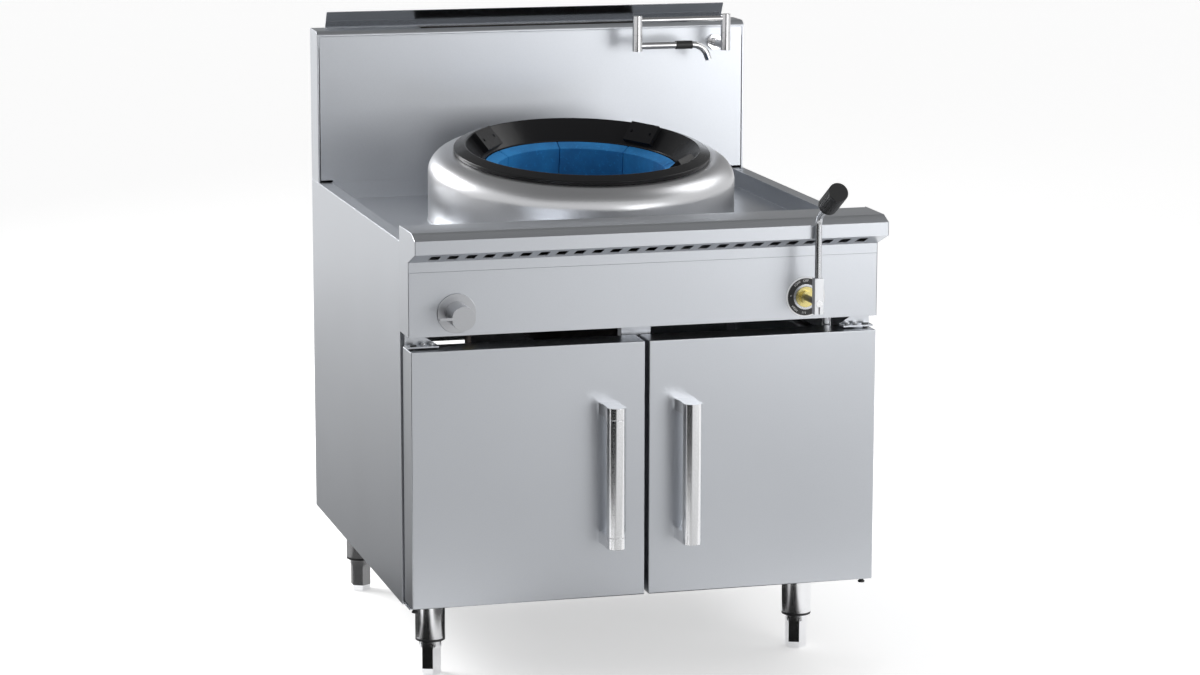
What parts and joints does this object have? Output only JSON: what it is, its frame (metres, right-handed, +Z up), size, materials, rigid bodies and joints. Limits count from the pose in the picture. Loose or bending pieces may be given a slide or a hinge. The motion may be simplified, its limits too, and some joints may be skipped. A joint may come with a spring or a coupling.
{
  "type": "wok range",
  "caption": "Free-standing gas wok range with a raised leaning wok collar, lever gas valve, folding swivel tap, cupboard doors and a flue in the splashback.",
  "frame": {"origin": "centre of the footprint box, on the floor under the feet", "axes": "+Z up, front faces -Y, +X to the right seen from the front"},
  "size_m": [0.9, 1.0938, 1.201],
  "materials": {
    "stainless": "satin",
    "stainless_bright": "polished",
    "dark_steel": "matt, heat darkened",
    "galvanised": "dull zinc",
    "black_iron": "black enamel, satin",
    "refractory": "matt, mottled blue",
    "brass": "machined",
    "black_plastic": "ribbed, matt",
    "dial_print": "printed",
    "copper_pipe": "dull copper"
  },
  "bodies": {
    "root": {"side_panel_left": "stainless", "side_panel_right": "stainless", "back_panel": "galvanised", "base_frame": "galvanised", "base_shelf": "galvanised", "centre_mullion": "stainless", "door_catches": "black_plastic", "leg_tubes": "stainless_bright", "leg_collars": "black_plastic", "deck_tray": "stainless", "wok_collar": "stainless", "furnace_shell": "dark_steel", "refractory_lining": "refractory", "burner_body": "dark_steel", "burner_jets": "brass", "burner_shroud": "dark_steel", "burner_pipe": "copper_pipe", "pilot_burner": "stainless_bright", "flue_duct": "galvanised", "splashback_casing": "stainless", "splashback_front": "stainless", "flue_deflector": "stainless", "apron": "stainless", "control_box_ends": "stainless", "control_panel": "stainless", "hinge_brackets": "stainless", "hinge_pins": "dark_steel", "gas_valve_body": "brass", "dial_ring": "dial_print", "dial_bezel": "stainless_bright", "gas_union": "galvanised", "gas_supply_pipe": "galvanised", "gas_inlet": "brass", "water_valve_body": "brass", "knob_plate": "stainless_bright", "water_supply_pipe": "copper_pipe", "water_inlet": "brass", "tap_riser_pipe": "copper_pipe", "tap_escutcheon": "stainless_bright", "tap_stem": "stainless_bright"},
    "door_left": {"door_skin_left": "stainless", "door_liner_left": "stainless", "door_handle_left": "stainless_bright"},
    "door_right": {"door_skin_right": "stainless", "door_liner_right": "stainless", "door_handle_right": "stainless_bright"},
    "gas_lever": {"lever_spindle": "dark_steel", "lever_block": "stainless_bright", "lever_rod": "stainless_bright", "lever_grip": "black_plastic"},
    "water_knob": {"tap_knob": "stainless_bright"},
    "tap_arm_inner": {"tap_inner_arm": "stainless_bright"},
    "tap_arm_outer": {"tap_outer_arm": "stainless_bright", "tap_sleeve": "black_plastic"},
    "ring": {"wok_ring": "black_iron", "wok_lugs": "black_iron"},
    "foot_fl": {"foot_front_left": "stainless_bright"},
    "foot_fr": {"foot_front_right": "stainless_bright"},
    "foot_rl": {"foot_rear_left": "stainless_bright"},
    "foot_rr": {"foot_rear_right": "stainless_bright"}
  },
  "joints": [
    {"name": "door_left_hinge", "type": "hinge", "parent": "root", "child": "door_left", "pos_m": [-0.436, -0.33412, 0.424], "axis": [0, 0, -1], "range_deg": [0, 110]},
    {"name": "door_right_hinge", "type": "hinge", "parent": "root", "child": "door_right", "pos_m": [0.436, -0.33412, 0.424], "axis": [0, 0, 1], "range_deg": [0, 110]},
    {"name": "gas_lever_turn", "type": "hinge", "parent": "root", "child": "gas_lever", "pos_m": [0.3086, -0.37912, 0.733], "axis": [0, -1, 0], "range_deg": [0, 135]},
    {"name": "water_knob_turn", "type": "hinge", "parent": "root", "child": "water_knob", "pos_m": [-0.36, -0.39112, 0.733], "axis": [0, 1, 0], "range_deg": [0, 90]},
    {"name": "tap_inner_swing", "type": "hinge", "parent": "root", "child": "tap_arm_inner", "pos_m": [0.386, 0.39688, 1.165], "axis": [0, 0, 1], "range_deg": [0, 150]},
    {"name": "tap_outer_swing", "type": "hinge", "parent": "tap_arm_inner", "child": "tap_arm_outer", "pos_m": [0.198, 0.39688, 1.137], "axis": [0, 0, -1], "range_deg": [0, 180]},
    {"name": "ring_lift", "type": "slide", "parent": "root", "child": "ring", "axis": [0, -0.1149, 0.9934], "range_m": [0, 0.12]},
    {"name": "foot_fl_height", "type": "slide", "parent": "root", "child": "foot_fl", "axis": [0, 0, -1], "range_m": [0, 0.038]},
    {"name": "foot_fr_height", "type": "slide", "parent": "root", "child": "foot_fr", "axis": [0, 0, -1], "range_m": [0, 0.038]},
    {"name": "foot_rl_height", "type": "slide", "parent": "root", "child": "foot_rl", "axis": [0, 0, -1], "range_m": [0, 0.038]},
    {"name": "foot_rr_height", "type": "slide", "parent": "root", "child": "foot_rr", "axis": [0, 0, -1], "range_m": [0, 0.038]}
  ]
}
